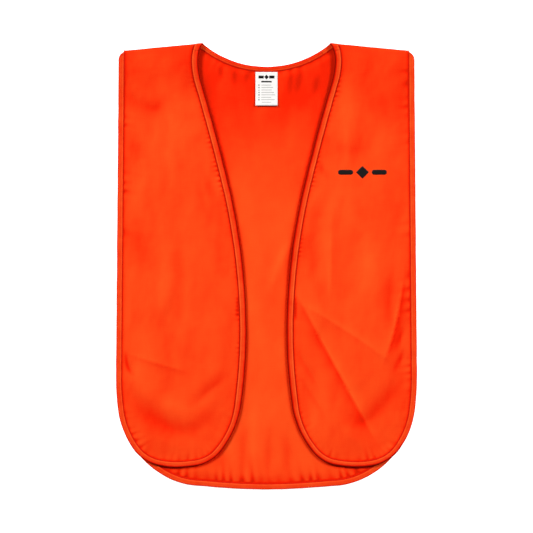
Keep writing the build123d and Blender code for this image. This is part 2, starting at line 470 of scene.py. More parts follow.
def settled(points):
    """From 0 beside the shoulder fold to 1 where a front lies on the back."""
    return smoothstep(below_fold(points), FLAT_BELOW_FOLD, FLAT_BELOW_FOLD + DROP_LENGTH)


def off_fold(points):
    """How free a front's cloth is to wrinkle: 0 beside the shoulder fold, 1 a little below it."""
    return smoothstep(below_fold(points), FOLD_RADIUS + 3, 34)


def front_edge_z(points):
    """Height of a front's cloth along its bound edges."""
    return SHOULDER_Z + (FRONT_Z - SHOULDER_Z) * settled(points)


def binding_edge_shade(inner):
    """Painted shade: how much deeper the cloth is beside a binding's raised inner edge."""
    inner = np.maximum(inner, 0)
    return 0.50 * np.exp(-inner / 1.5) + 0.10 * np.exp(-inner / 7)


# Gathers beside the bindings: strength, pitch, reach and how patchy they are.
HEM_GATHERS = (0.85, 15.5, 8, 0.35)
SIDE_GATHERS = (0.7, 21.0, 9, 0.95)
OPENING_GATHERS = (0.95, 8.5, 2.4, 0.45)
BACK_GATHERS = (1.3, 17.0, 12, 0.3)
NECK_GATHERS = (0.8, 17.0, 8, 0.3)
FRONT_HEIGHTS = (2.75, 7.45)  # between which the middle of a front's cloth stays
BACK_HEIGHTS = (0.3, 2.2)
FRONT_LOFT, BACK_LOFT = 1.35, 0.62  # how far the cloth stands up inside its bindings
FRONT_TONE, BACK_TONE = 0.53, 0.72


def front_surface(points, side):
    """Height and tone of the middle of a front's cloth. points are drawn for the left; side is 1 or -1."""
    seed = front_seed(side)
    real = points * (side, 1)
    depth, along = bound_depth(points, FRONT_LINE)
    width = front_width(along)
    inner = depth - width
    loft = FRONT_LOFT * settled(points) * smoothstep(depth, width - 2, 62)
    free = off_fold(points)
    folds = rumple(real, seed, 0.95)
    # painted shade: the front deeper towards its shoulder fold
    tone = FRONT_TONE - 0.27 * (1 - smoothstep(below_fold(points), 8, 145)) + mottle(real, seed)
    add_creases(real, LEFT_FRONT_CREASES if side > 0 else RIGHT_FRONT_CREASES, folds, tone)
    z = front_edge_z(points) + loft + folds * free * smoothstep(inner, -3, 16)
    z += edge_ripple(along, seed + 7) * free * (1 - smoothstep(inner, 0, 14))
    hem, outer = smoothstep(-points[:, 1], 215, 290), smoothstep(points[:, 0], 150, 200)
    on_hem = free * hem * (1 - 0.55 * outer * smoothstep(-points[:, 1], 320, 270))
    add_gathers(z, tone, on_hem, along, inner, seed + 11, HEM_GATHERS)
    add_gathers(z, tone, free * (1 - hem) * outer, along, inner, seed + 13, SIDE_GATHERS)
    add_gathers(z, tone, free * (1 - hem) * (1 - outer), along, inner, seed + 15, OPENING_GATHERS)
    tone -= binding_edge_shade(inner)
    return np.clip(z, *FRONT_HEIGHTS), tone


def painted_edge_shadows(points):
    """Painted shadow of a front's edge on the back: how much deeper the back is under that edge, and just
    outside it in its upper half.
    """
    across, _, distance = edge_field(mirrored(points), FRONT_LINE, left_normals(FRONT_LINE))
    under_edge = np.exp(-((distance / 4) ** 2)) * smoothstep(across, 4, -1)
    beside = np.exp(-np.maximum(-across, 0) / 15) * smoothstep(points[:, 1], -60, 60)
    return EDGE_SHADOW_PAINT * under_edge, 0.17 * beside


def back_surface(points):
    """Height and tone of the middle of the back's cloth."""
    seed = 20
    x, y = points.T
    depth, along = bound_depth(points, BACK_LINE)
    inner = depth - HEM_BIND_WIDTH
    neck_inner = np.hypot(x, y - NECK_CENTRE_Y) - NECK_RADIUS - NECK_BIND_WIDTH
    neck_along = NECK_RADIUS * np.arctan2(x, NECK_CENTRE_Y - y) + 400
    off = smoothstep(fold_distance(points), FOLD_RADIUS + 3, 30)
    free = smoothstep(inner, -3, 16) * smoothstep(neck_inner, -2, 12) * off
    tone = BACK_TONE + mottle(points, seed)
    # painted shade: the back deeper towards the neck; also deeper towards the hem
    tone -= 0.66 * smoothstep(y, 90, 320) + 0.12 * smoothstep(-y, 290, 370)
    # painted shadows of the fronts' edges on the back
    for deeper in painted_edge_shadows(points):
        tone -= deeper
    folds = rumple(points, seed, 0.55)
    add_creases(points, BACK_CREASES, folds, tone)
    under_label = (1 - smoothstep(np.abs(x), 20, 32)) * smoothstep(y, 262, 276)
    z = BACK_Z + free * (BACK_LOFT + folds * (1 - under_label) - 0.2 * under_label)
    add_gathers(z, tone, off, along, inner, seed + 11, BACK_GATHERS)
    add_gathers(z, tone, off * (1 - under_label), neck_along, neck_inner, seed + 15, NECK_GATHERS)
    tone -= binding_edge_shade(inner) + 0.5 * binding_edge_shade(neck_inner)
    tone -= 0.30 * np.exp(-np.maximum(inner, 0) / 9) * smoothstep(-y, 300, 350)
    return np.clip(z, *BACK_HEIGHTS), tone


def shaded(points, z, faces, tone, side=1):
    """The tone with painted light and shade: slopes that face LIT_FROM painted paler, those that face away
    deeper.
    """
    facing = (point_normals(np.column_stack([points, z]), faces)[:, :2] * (side, 1)) @ LIT_FROM
    return np.clip(tone + SLOPE_PAINTED_SHADING * facing, -0.3, 1)


# ---- mesh builders


def inside_loop(points, loop):
    """Which points are inside a closed outline."""
    found = np.zeros(len(points), bool)
    x, y = points[:, 0], points[:, 1]
    for (x0, y0), (x1, y1) in zip(loop, np.roll(loop, -1, axis=0)):
        if y0 != y1:
            crosses = (y0 > y) != (y1 > y)
            found ^= crosses & (x < (x1 - x0) * (y - y0) / (y1 - y0) + x0)
    return found


def grid_inside(loop, step):
    """Rows of points step apart inside a closed outline, and how far each is from it."""
    low, high = loop.min(0), loop.max(0)
    row_step = step * math.sqrt(3) / 2
    rows = np.arange(low[1] + row_step / 2, high[1], row_step)
    columns = [np.arange(low[0] + (k % 2) * step / 2, high[0], step) for k in range(len(rows))]
    grid = np.vstack([np.column_stack([x, np.full_like(x, y)]) for x, y in zip(columns, rows)])
    grid = grid[inside_loop(grid, loop)]
    return grid, edge_field(grid, loop, np.zeros_like(loop))[2]


def fill(loop, step, extra=(), edge_step=None):
    """Points and triangles over the inside of a closed outline, which comes first among the points. They are
    edge_step apart near the outline, if it is given, and extra lines of points are kept."""
    grid, distance = grid_inside(loop, step)
    if edge_step is None:
        grid = grid[distance > 0.62 * step]
    else:
        fine, fine_distance = grid_inside(loop, edge_step)
        fine = fine[(fine_distance > 0.62 * edge_step) & (fine_distance < EDGE_REACH)]
        grid = np.vstack([fine, grid[distance > EDGE_REACH + 0.5 * step]])
    for line in extra:
        _, _, distance = edge_field(grid, line, np.zeros_like(line))
        grid = np.vstack([grid[distance > 0.5 * step], line[inside_loop(line, loop)]])
    points = np.vstack([loop, grid])
    edges = [(i, (i + 1) % len(loop)) for i in range(len(loop))]
    made = delaunay_2d_cdt([Vector(p) for p in points], edges, [], 1, 1e-5)
    source = np.array([ids[0] for ids in made[3]])
    faces = [tuple(source[list(f)]) for f in made[2]]
    a, b, c = (points[[f[k] for f in faces]] for k in range(3))
    turn = (b - a)[:, 0] * (c - a)[:, 1] - (b - a)[:, 1] * (c - a)[:, 0]
    return points, [f if w > 0 else f[::-1] for f, w in zip(faces, turn)]


def point_normals(vertices, faces):
    """Normals of a triangle mesh at its points."""
    f = np.array(faces)
    a, b, c = (vertices[f[:, k]] for k in range(3))
    n = np.cross(b - a, c - a)
    total = np.zeros_like(vertices)
    for k in range(3):
        np.add.at(total, f[:, k], n)
    return unit(total)


def closed_layers(outer, inner, faces, rim):
    """A closed sheet from its two faces and the loop of points round its rim."""
    count = len(outer)
    all_faces = [tuple(f) for f in faces]
    all_faces += [tuple(i + count for i in reversed(f)) for f in faces]
    all_faces += [(j, i, i + count, j + count) for i, j in zip(rim, list(rim[1:]) + [rim[0]])]
    return np.vstack([outer, inner]), all_faces


def grid_mesh(rows, columns, flipped=False):
    """The faces and the rim of a grid of points, row by row, turned over if flipped."""
    at = np.arange(rows * columns).reshape(rows, columns)
    faces = np.stack([at[:-1, :-1], at[:-1, 1:], at[1:, 1:], at[1:, :-1]], 2).reshape(-1, 4)
    rim = [*at[0], *at[1:-1, -1], *at[-1, ::-1], *at[-2:0:-1, 0]]
    return (faces[:, [0, 3, 2, 1]], rim[:1] + rim[:0:-1]) if flipped else (faces, rim)


def thick_sheet(points, z, faces, rim_count, thickness):
    """A closed sheet of even thickness about a height field."""
    middle = np.column_stack([points, z])
    normals = point_normals(middle, faces) * thickness / 2
    return closed_layers(middle + normals, middle - normals, faces, list(range(rim_count)))


def make_piece(name, vertices, faces, material, side=1, tone=None):
    """A mesh object from millimetres, mirrored for the wearer's right."""
    vertices = np.array(vertices, float)
    if side < 0:
        vertices = vertices * (-1, 1, 1)
        faces = [tuple(reversed(f)) for f in faces]
    mesh = bpy.data.meshes.new(name)
    mesh.from_pydata((vertices * MM).tolist(), [], [tuple(int(i) for i in f) for f in faces])
    mesh.polygons.foreach_set("use_smooth", [True] * len(mesh.polygons))
    values = np.full(len(vertices), 0.5) if tone is None else np.asarray(tone, float)
    attribute = mesh.attributes.new("tone", "FLOAT", "POINT")
    attribute.data.foreach_set("value", values.astype(np.float32))
    mesh.materials.append(material)
    mesh.update()
    piece = bpy.data.objects.new(name, mesh)
    bpy.context.scene.collection.objects.link(piece)
    return piece


def joined(parts):
    """Several (vertices, faces) as one."""
    vertices, faces, start = [], [], 0
    for v, f in parts:
        vertices.append(v)
        faces += [tuple(i + start for i in face) for face in f]
        start += len(v)
    return np.vstack(vertices), faces


# ---- bindings and stitches


def stitch_depth(width):
    """How far in from a binding's fold its stitches are."""
    full = np.maximum(width, NARROW_BIND)
    return (full - STITCH_INSET) * width / full


def bind_profile(width):
    """The section of a bound edge: distance in from its fold, height, share of the puff, change of tone. The
    change of tone is painted light and shade: painted shadow at the fold, in the stitch groove and at the
    inner edge, and a painted highlight on the ridge beside the stitches.
    """
    shrink = min(1, width / NARROW_BIND)
    width /= shrink
    sewn = width - STITCH_INSET
    top = [
        (0.0, 0.00, 0.0, -1.30),
        (0.10, 0.32, 0.2, -1.25),
        (0.50, 0.52, 0.5, -1.00),
        (1.10, 0.66, 0.7, -0.45),
        (2.0, 0.75, 0.9, 0.04),
        (0.36 * width, 0.78, 1.0, -0.02),
        (0.54 * width, 0.78, 1.0, -0.04),
        (sewn - 3.0, 0.77, 0.9, 0.02),
        (sewn - 2.1, 0.80, 0.5, 0.27),
        (sewn - 1.1, 0.68, 0.2, 0.28),
        (sewn - 0.35, 0.36, 0.0, -0.70),
        (sewn + 0.35, 0.34, 0.0, -0.90),
        (width - 0.50, 0.46, 0.2, -0.70),
        (width - 0.06, 0.36, 0.1, -0.80),
        (width, 0.20, 0.0, -0.90),
    ]
    bottom = [(a, -h, puff, painted_shading) for a, h, puff, painted_shading in reversed(top[1:])]
    return np.array(top + bottom) * (shrink, 1, 1, 1)


def tube_faces(rings, count, start=0):
    """Faces between rings of count points."""
    faces = []
    for k in range(rings - 1):
        low, high = start + k * count, start + (k + 1) * count
        faces += [(low + j, low + (j + 1) % count, high + (j + 1) % count, high + j) for j in range(count)]
    return faces


def sweep_binding(line, inward, widths, along, calm, seed, place):
    """A folded tape along a line, even where calm is 0, and each point's depth and painted light and shade.
    """
    sections = np.array([bind_profile(width) for width in widths])
    a, h, puff = sections[..., 0], sections[..., 1], sections[..., 2]
    rows, count = a.shape
    s = np.repeat(along[:, None], count, 1)
    calm, width = calm[:, None], widths[:, None]
    slant = np.sin(2 * np.pi * (s + 0.7 * a) / 8.5 + 2.0 * wander(s, 27, seed))
    swell = 0.10 * slant * (0.6 + wander(s, 19, seed + 1)) + 0.06 * wander(s, 11, seed + 2)
    h = h + calm * np.sign(h) * np.minimum(puff * swell, 0.06)
    outer, inner = 0.30 * wander(s, 23, seed + 3), 0.24 * wander(s, 9, seed + 4)
    a = a + calm * (outer * (1 - a / width) + inner * (a / width) ** 3)
    points = line[:, None] + a[..., None] * inward[:, None]
    vertices = place(points.reshape(-1, 2), h.ravel(), s.ravel())
    faces = tube_faces(rows, count)
    if signed_volume(vertices, faces) < 0:
        faces = [tuple(reversed(f)) for f in faces]
        caps = [range(count), reversed(range((rows - 1) * count, rows * count))]
    else:
        caps = [reversed(range(count)), range((rows - 1) * count, rows * count)]
    return vertices, faces + [tuple(cap) for cap in caps], sections[..., 0], sections[..., 3]


def signed_volume(vertices, quads):
    """Six times the volume in a nearly closed mesh of quads, below 0 where it faces inwards."""
    a, b, c, d = (vertices[[q[k] for q in quads]] for k in range(4))
    centre = vertices.mean(0)
    a, b, c, d = a - centre, b - centre, c - centre, d - centre
    return float((a * (np.cross(b, c) + np.cross(c, d))).sum())


RING_SHARES = (-0.5, -0.36, 0.0, 0.36, 0.5)
RING_RADII = (0.35, 0.92, 1.05, 0.92, 0.35)
RING_SINKS = (-0.85, -0.2, 0.15, -0.2, -0.85)
RING_SIDES = 6


def stitch_rows(centres, directions, ups, length=STITCH_LENGTH, radius=STITCH_RADIUS):
    """A row of stitches, each a little arched pillow of thread."""
    angle = np.arange(RING_SIDES) * 2 * np.pi / RING_SIDES
    vertices, faces = [], []
    for centre, forward, up in zip(centres, directions, ups):
        across = np.cross(up, forward)
        start = len(vertices) * RING_SIDES
        for share, wide, sink in zip(RING_SHARES, RING_RADII, RING_SINKS):
            middle = centre + forward * share * length + up * sink * radius
            ring = np.outer(np.cos(angle), across) + np.outer(np.sin(angle), up)
            vertices.append(middle + ring * wide * radius)
        rings = len(RING_SHARES)
        faces += [(a, d, c, b) for a, b, c, d in tube_faces(rings, RING_SIDES, start)]
        last = start + (rings - 1) * RING_SIDES
        faces += [tuple(range(start, start + RING_SIDES)), tuple(range(last + RING_SIDES - 1, last - 1, -1))]
    return np.vstack(vertices), faces


def stitches_on(line, place_line):
    """Stitches on both faces of a binding, where place_line(points, height) puts its stitch line."""
    at = resample(line, STITCH_PITCH)
    middles = (at[1:] + at[:-1]) / 2
    parts = []
    for face in (1, -1):
        height = face * 0.47
        centres = place_line(middles, height)
        directions = unit(np.diff(place_line(at, height), axis=0))
        ups = place_line(middles, height + face * 0.1) - centres
        ups = unit(ups - directions * (ups * directions).sum(1)[:, None])
        parts.append(stitch_rows(centres, directions, ups))
    return joined(parts)


# ---- the shoulder fold


def fold_map(points, height):
    """From the unfolded outside of the cloth to its place at rest, at a height out of the cloth. Column 0
    runs along the fold and column 1 across it, down the front above FOLD_HALF and down the back below
    -FOLD_HALF."""
    u, v = points[:, 0], points[:, 1]
    turn = np.clip(v, -FOLD_HALF, FOLD_HALF) / FOLD_RADIUS
    past = np.maximum(np.abs(v) - FOLD_HALF, 0)
    radius = FOLD_RADIUS + height
    across = -FOLD_RADIUS + radius * np.cos(turn) - past
    xy = FOLD_ORIGIN + np.outer(u, FOLD_U) + np.outer(across, FOLD_V)
    return np.column_stack([xy, FOLD_Z + radius * np.sin(turn)])


def unfolded(points, face):
    """Points of the left front (face 1) or of the back (face -1) in the unfolded plane of their shoulder."""
    t = below_fold(points)
    u = (points - FOLD_ORIGIN) @ FOLD_U
    return np.column_stack([u, face * (t - FOLD_RADIUS + FOLD_HALF)])


def bridge(start, start_tangent, end, end_tangent, count=9):
    """A smooth line between two ends, without its end points."""
    s = np.linspace(0, 1, count)[1:-1, None]
    reach = np.linalg.norm(end - start)
    return (
        (2 * s**3 - 3 * s**2 + 1) * start
        + (s**3 - 2 * s**2 + s) * reach * start_tangent
        + (3 * s**2 - 2 * s**3) * end
        + (s**3 - s**2) * reach * end_tangent
    )


def fold_path(back_points, front_points):
    """A bound edge's line over the fold, from its tail on the back to its tail on the front."""
    back, front = unfolded(back_points, -1), unfolded(front_points, 1)
    middle = bridge(back[-1], unit(back[-1] - back[-2]), front[0], unit(front[1] - front[0]))
    return np.vstack([back, middle, front])


def near_fold_part(line, from_start, tail):
    """The stretch of a line between the fold's edge and its tail, leading to the fold."""
    ordered = line[::-1] if from_start else line
    ordered = resample(ordered[below_fold(ordered) < tail + 6], 0.4)
    t = below_fold(ordered)
    return resample(ordered[(t >= FOLD_RADIUS) & (t <= tail)], 1.6)


# ---- materials


class Nodes:
    """A short way to wire up a material."""

    def __init__(self, name):
        self.material = bpy.data.materials.new(name)
        self.material.use_nodes = True
        self.tree = self.material.node_tree
        self.shader = self.tree.nodes["Principled BSDF"]

    def add(self, kind, inputs=(), **settings):
        node = self.tree.nodes.new(kind)
        for key, value in settings.items():
            setattr(node, key, value)
        for key, value in dict(inputs).items():
            self.join(value, node.inputs[key])
        return node

    def join(self, value, socket):
        if isinstance(value, bpy.types.NodeSocket):
            self.tree.links.new(value, socket)
        else:
            socket.default_value = value

    def math(self, operation, a, b=0.0):
        return self.add("ShaderNodeMath", {0: a, 1: b}, operation=operation).outputs[0]

    def spread(self, noise, low, high):
        """Noise, which is mostly from 0.3 to 0.7, spread from low to high."""
        return self.add("ShaderNodeMapRange", {0: noise, 1: 0.3, 2: 0.7, 3: low, 4: high}).outputs[0]

    def settle(self, values):
        """Sets the shader's own sockets, each to a value or to a link."""
        for socket, value in values.items():
            self.join(value, self.shader.inputs[socket])

    def noise(self, place, scale, detail=2.0, rough=0.5):
        inputs = {"Vector": place, "Scale": scale, "Detail": detail, "Roughness": rough}
        return self.add("ShaderNodeTexNoise", inputs).outputs["Fac"]

    def mix(self, share, a, b):
        made = self.add("ShaderNodeMix", data_type="RGBA")
        for index, value in ((0, share), (6, a), (7, b)):
            self.join(value, made.inputs[index])
        return made.outputs[2]

    def bump(self, height, strength, distance, before=None):
        inputs = {"Height": height, "Strength": strength, "Distance": distance}
        if before is not None:
            inputs["Normal"] = before
        return self.add("ShaderNodeBump", inputs).outputs["Normal"]

    def stretched(self, place, factors):
        return self.add("ShaderNodeVectorMath", {0: place, 1: factors}, operation="MULTIPLY").outputs[0]


def weave_height(n, place, pitch, turn=0.0):
    """The over and under of a plain weave, with threads pitch apart."""
    if turn:
        inputs = {"Vector": place, "Angle": turn}
        place = n.add("ShaderNodeVectorRotate", inputs, rotation_type="Z_AXIS").outputs[0]
    parts = n.add("ShaderNodeSeparateXYZ", {0: place}).outputs
    waves = [n.math("SINE", n.math("MULTIPLY", parts[axis], math.pi / pitch)) for axis in ("X", "Y")]
    return n.math("MULTIPLY", *waves)


def cloth_material(name, deep, pale, weave_pitch, turn, rough, weave_strength, crumple_strength):
    """Woven polyester: deep where the tone attribute is 0, pale where it is 1, and dark with painted shadow
    where it is -1. The tone carries the cloth's mottle and its painted light and shade.
    """
    n = Nodes(name)
    place = n.add("ShaderNodeTexCoord").outputs["Object"]
    tone = n.add("ShaderNodeAttribute", attribute_name="tone").outputs["Fac"]
    share = n.math("ADD", tone, n.spread(n.noise(place, 26, 3.0, 0.55), -0.04, 0.04))
    for stretch in ((900, 60, 60), (60, 900, 60)):
        streak = n.noise(n.stretched(place, stretch), 1.0, 2.0)
        share = n.math("ADD", share, n.spread(streak, -0.035, 0.035))
    colour = n.mix(share, (*deep, 1), (*pale, 1))
    crumple = n.bump(n.noise(n.stretched(place, (1.0, 0.7, 1.0)), 95, 4.0, 0.55), crumple_strength, 0.0012)
    fine = n.bump(n.noise(place, 420, 2.0), 0.10, 0.0004, crumple)
    n.settle(
        {
            "Base Color": n.mix(n.math("MULTIPLY", tone, -1.0), colour, (*PAINTED_SHADOW, 1)),
            "Roughness": n.spread(n.noise(place, 140, 4.0, 0.6), rough - 0.06, rough + 0.07),
            "Normal": n.bump(weave_height(n, place, weave_pitch, turn), weave_strength, 0.00012, fine),
            "Specular IOR Level": 0.03,
            "Specular Tint": (1.0, 0.42, 0.16, 1),
            "Sheen Weight": 0.03,
            "Sheen Roughness": 0.5,
            "Sheen Tint": (1.0, 0.16, 0.03, 1),
        }
    )
    return n.material


def plain_material(name, colour, spread_colour, rough, scale, bump_strength, weave_pitch=0.0):
    """A nearly even finish with a little mottling, and a weave where weave_pitch is given."""
    n = Nodes(name)
    place = n.add("ShaderNodeTexCoord").outputs["Object"]
    grain = n.noise(place, scale, 4.0, 0.6)
    normal = n.bump(grain, bump_strength, 0.0002)
    if weave_pitch:
        normal = n.bump(weave_height(n, place, weave_pitch), 0.25, 0.00008, normal)
    n.settle(
        {
            "Base Color": n.mix(n.spread(grain, 0.0, 1.0), (*colour, 1), (*spread_colour, 1)),
            "Roughness": n.spread(grain, rough - 0.07, rough + 0.07),
            "Normal": normal,
            "Specular IOR Level": 0.15,
        }
    )
    return n.material


# PAINTED_SHADOW is the colour that painted shadow reaches where the tone is -1
PAINTED_SHADOW = (0.20, 0.003, 0.0006)
DEEP, PALE = (0.90, 0.016, 0.0016), (0.96, 0.092, 0.0125)
DEEP_TAPE, PALE_TAPE = (0.80, 0.008, 0.0010), (0.98, 0.170, 0.0290)
shell = cloth_material("shell_cloth", DEEP, PALE, 0.00042, 0.0, 0.72, 0.30, 0.22)
tape = cloth_material("binding_cloth", DEEP_TAPE, PALE_TAPE, 0.00055, 0.785, 0.66, 0.35, 0.25)
thread = plain_material("orange_thread", (0.42, 0.008, 0.001), (0.62, 0.020, 0.003), 0.5, 2600, 0.4)
ribbon = plain_material("label_ribbon", (0.84, 0.82, 0.79), (0.90, 0.88, 0.85), 0.42, 260, 0.15, 0.00035)
white_thread = plain_material("label_thread", (0.62, 0.60, 0.57), (0.74, 0.72, 0.70), 0.5, 2600, 0.4)
ink = plain_material("black_ink", (0.004, 0.003, 0.003), (0.010, 0.008, 0.007), 0.6, 900, 0.2)
grey_ink = plain_material("grey_ink", (0.25, 0.24, 0.23), (0.36, 0.35, 0.33), 0.55, 900, 0.2)

# ---- pieces that the three panels share


def finish(piece, body=None, nodes=()):
    """Puts a piece on the body it rides on and hides the CAD nodes it stands for."""
    if body:
        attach(piece, body)
    if nodes:
        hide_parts(*nodes)


def sharp_lines(creases, side=1):
    """The paths of the sharp creases, as points for the mesh to keep."""
    return [resample(arc_through(c[0]), SHARP_STEP) * (side, 1) for c in creases if c[-1] is True]


def panel_cloth(name, node, body, outline, step, creases, surface, side=1):
    """A panel's cloth inside its outline, where surface(points) gives its heights and tones."""
    points, faces = fill(outline, step, sharp_lines(creases, side), EDGE_STEP)
    z, tone = surface(points)
    tone = shaded(points, z, faces, tone, side)
    vertices, faces = thick_sheet(points, z, faces, len(outline), CLOTH_THICKNESS)
    cloth = make_piece(name, vertices, faces, shell, side, np.tile(tone, 2))
    finish(cloth, body, [node])
    return cloth


def bound_edge(
    names, stretches, body, line, inward, widths, along, place, seed,
    side=1, calm=None, base=0.28, contrast=1.0, shade=0.0,
):
    """The binding along a line and its stitches, which stand for those of the stretches in CAD.
    place(points, heights, along) says where points go. base is the binding's tone, contrast scales the
    section's painted light and shade, and shade is how much darker painted shadow makes the outer edge."""
    widths = np.broadcast_to(widths, len(line))
    if calm is None:
        calm = smoothstep(fold_distance(line), TAIL, TAIL + 12)
    vertices, faces, depths, painted_section_shading = sweep_binding(line, inward, widths, along, calm, seed, place)
    contrast, shade = (np.broadcast_to(value, len(line))[:, None] for value in (contrast, shade))
    # painted light and shade of the section, and painted shadow on the outer edge
    painted_section_shading = contrast * painted_section_shading - shade * np.exp(-((depths / SHADE_REACH) ** 2))
    x, y = vertices[:, 0] * side, vertices[:, 1]
    changes = 0.07 * gradient_noise(x / 26, y / 26, seed) + 0.05 * gradient_noise(x / 8, y / 8, seed + 1)
    tone = np.clip(base + changes + painted_section_shading.ravel(), -1, 1)
    binding = make_piece(names[0], vertices, faces, tape, side, tone)
    sewn = line + inward * stitch_depth(widths)[:, None]
    sewn_along = lengths(sewn)

    def place_line(at, height):
        _, s, _ = edge_field(at, sewn, inward)
        return place(at, np.full(len(at), height), np.interp(s, sewn_along, along))

    stitches = make_piece(names[1], *stitches_on(sewn, place_line), thread, side)
    finish(binding, body, [f"{stretch}_binding" for stretch in stretches])
    finish(stitches, body, [f"{stretch}_stitching" for stretch in stretches])
    return [binding, stitches]


# ---- the back


def back_loop():
    """The back's cloth, from its raw edges under the bindings up to both shoulder folds."""
    hem = cut_at_fold(cloth_edge(BACK_LINE), FOLD_RADIUS)
    neck = cut_at_fold(NECK_LINE - left_normals(NECK_LINE) * CLOTH_UNDER_BINDING, FOLD_RADIUS)
    left_fold = resample(np.array([hem[-1], neck[-1]]), BACK_STEP)[1:-1]
    right_fold = resample(np.array([neck[0], hem[0]]), BACK_STEP)[1:-1]
    return np.vstack([hem, left_fold, neck[::-1], right_fold])


def place_back(points, heights, along):
    """Where the points of the back's bound edges go."""
    lift = 0.10 * (1 + np.tanh(2 * wander(along, 30, 31))) * smoothstep(fold_distance(points), 20, 40)
    return np.column_stack([points, BACK_Z + heights + lift])


back_outline = back_loop()
back_cloth = panel_cloth(
    "back_cloth", "back_panel", "back", back_outline, BACK_STEP, BACK_CREASES, back_surface
)
edge = cut_at_fold(BACK_LINE, TAIL)
back_edge = bound_edge(
    ("back_edge_binding", "back_edge_stitches"), ("back_hem", "left_back_side", "right_back_side"), "back",
    edge, left_normals(edge), HEM_BIND_WIDTH, lengths(edge), place_back, 300, contrast=0.5,
)
edge = cut_at_fold(NECK_LINE, TAIL)
# base=0.16: painted shade, the neck binding deeper like the back near the neck
back_neck = bound_edge(
    ("back_neck_edge", "back_neck_stitches"), ("back_neck",), "back",
    edge, -left_normals(edge), NECK_BIND_WIDTH, lengths(edge), place_back, 320, base=0.16, contrast=0.6,
)

# ---- the fronts and the shoulder folds


def front_loop():
    """A front's cloth, from its raw edge under the binding up to its shoulder fold."""
    edge = cut_at_fold(cloth_edge(FRONT_LINE), FOLD_RADIUS)
    return np.vstack([edge, resample(np.array([edge[-1], edge[0]]), FRONT_STEP)[1:-1]])


def front_edge(label, side, seed):
    """A front's binding and stitches. Its outer edge gets painted shadow where it lies on the back."""

    def place(points, heights, along):
        z = front_edge_z(points) + edge_ripple(along, seed + 7) * off_fold(points)
        return np.column_stack([points, z + heights])

    edge = cut_at_fold(FRONT_LINE, TAIL)
    _, along, _ = edge_field(edge, FRONT_LINE, left_normals(FRONT_LINE))
    return bound_edge(
        (f"{label}_front_binding", f"{label}_front_stitches"),
        [f"{label}_front_{stretch}" for stretch in ("opening", "hem", "side")],
        f"{label}_front",
        edge, left_normals(edge), front_width(along), along, place, seed + 300, side,
        contrast=1 - 0.45 * smoothstep(along, 620, 720),
        # painted shadow on the outer edge, stronger on the left front
        shade=(1.9 if side > 0 else 0.9) * (1 - smoothstep(along, 840, 930)),
    )


def fold_ends(loop, at_neck):
    """The end of a cloth outline's fold edge, beside the neck or beside the outer side."""
    on_fold = loop[(np.abs(below_fold(loop) - FOLD_RADIUS) < 1e-6) & (loop[:, 0] > 0)]
    order = on_fold[:, 0].argsort()
    return on_fold[order[0] if at_neck else order[-1]]


def fold_cloth(name, side, front_outline):
    """The cloth that goes round the shoulder fold, joining the back's to a front's, and its flat size."""
    ends = [
        [unfolded(fold_ends(outline, at_neck)[None], face)[0] for at_neck in (True, False)]
        for outline, face in ((back_outline, -1), (front_outline, 1))
    ]
    rows, columns, seed = 15, 48, front_seed(side)
    grid = []
    for r in np.linspace(0, 1, rows):
        start = ends[0][0] * (1 - r) + ends[1][0] * r
        stop = ends[0][1] * (1 - r) + ends[1][1] * r
        grid += [start + (stop - start) * c for c in np.linspace(0, 1, columns)]
    u, v = np.array(grid).T
    v = np.clip(v, -FOLD_HALF, FOLD_HALF)
    grid = np.column_stack([u, v])
    wave = 0.35 * wander(u, 26, seed + 21) + 0.18 * wander(u, 11, seed + 22)
    wave *= np.cos(v / FOLD_HALF * np.pi / 2) ** 2
    layers = [fold_map(grid, wave + half) for half in (CLOTH_THICKNESS / 2, -CLOTH_THICKNESS / 2)]
    vertices, faces = closed_layers(*layers, *grid_mesh(rows, columns))
    # painted shade: the fold's cloth about as deep as the front beside the fold
    tone = 0.28 + mottle(vertices[:, :2] * (side, 1), seed)
    tone -= FOLD_SHADE * np.exp(-((np.tile(v, 2) / 2.6) ** 2))
    size = (float(np.linalg.norm(ends[0][1] - ends[0][0])) * MM, 2 * FOLD_HALF * MM)
    return make_piece(name, vertices, faces, shell, side, tone), size


def fold_binding(name, side, back_part, front_part, end_widths, at_neck, seed):
    """A bound edge over the shoulder fold. Its inner edge stays straight past the rounded corner."""
    line = resample(fold_path(back_part, front_part), 1.0)
    inward = left_normals(line) * (-1 if at_neck else 1)
    along = lengths(line)
    share = along / along[-1]
    widths = end_widths[0] + (end_widths[1] - end_widths[0]) * smoothstep(share, 0.25, 0.75)
    # contrast scales the section's painted light and shade; shade is painted shadow on the outer edge
    contrast, shade = 0.6 + 0.4 * smoothstep(share, 0.5, 1), smoothstep(share, 0.5, 1)
    if not at_neck:
        contrast, shade = 0.55, 0.0
        inward = unit(inward[0] * (1 - share[:, None]) + inward[-1] * share[:, None])
        t = np.abs(line[:, 1]) + FOLD_RADIUS - FOLD_HALF
        widths -= side_inset(FOLD_ORIGIN + np.outer(line[:, 0], FOLD_U) - np.outer(t, FOLD_V))
    return bound_edge(
        (f"{name}_binding", f"{name}_stitches"), (), None,
        line, inward, widths, along, lambda points, heights, _: fold_map(points, heights), seed, side,
        calm=np.sin(np.pi * share), base=0.24, contrast=contrast, shade=shade,
    )


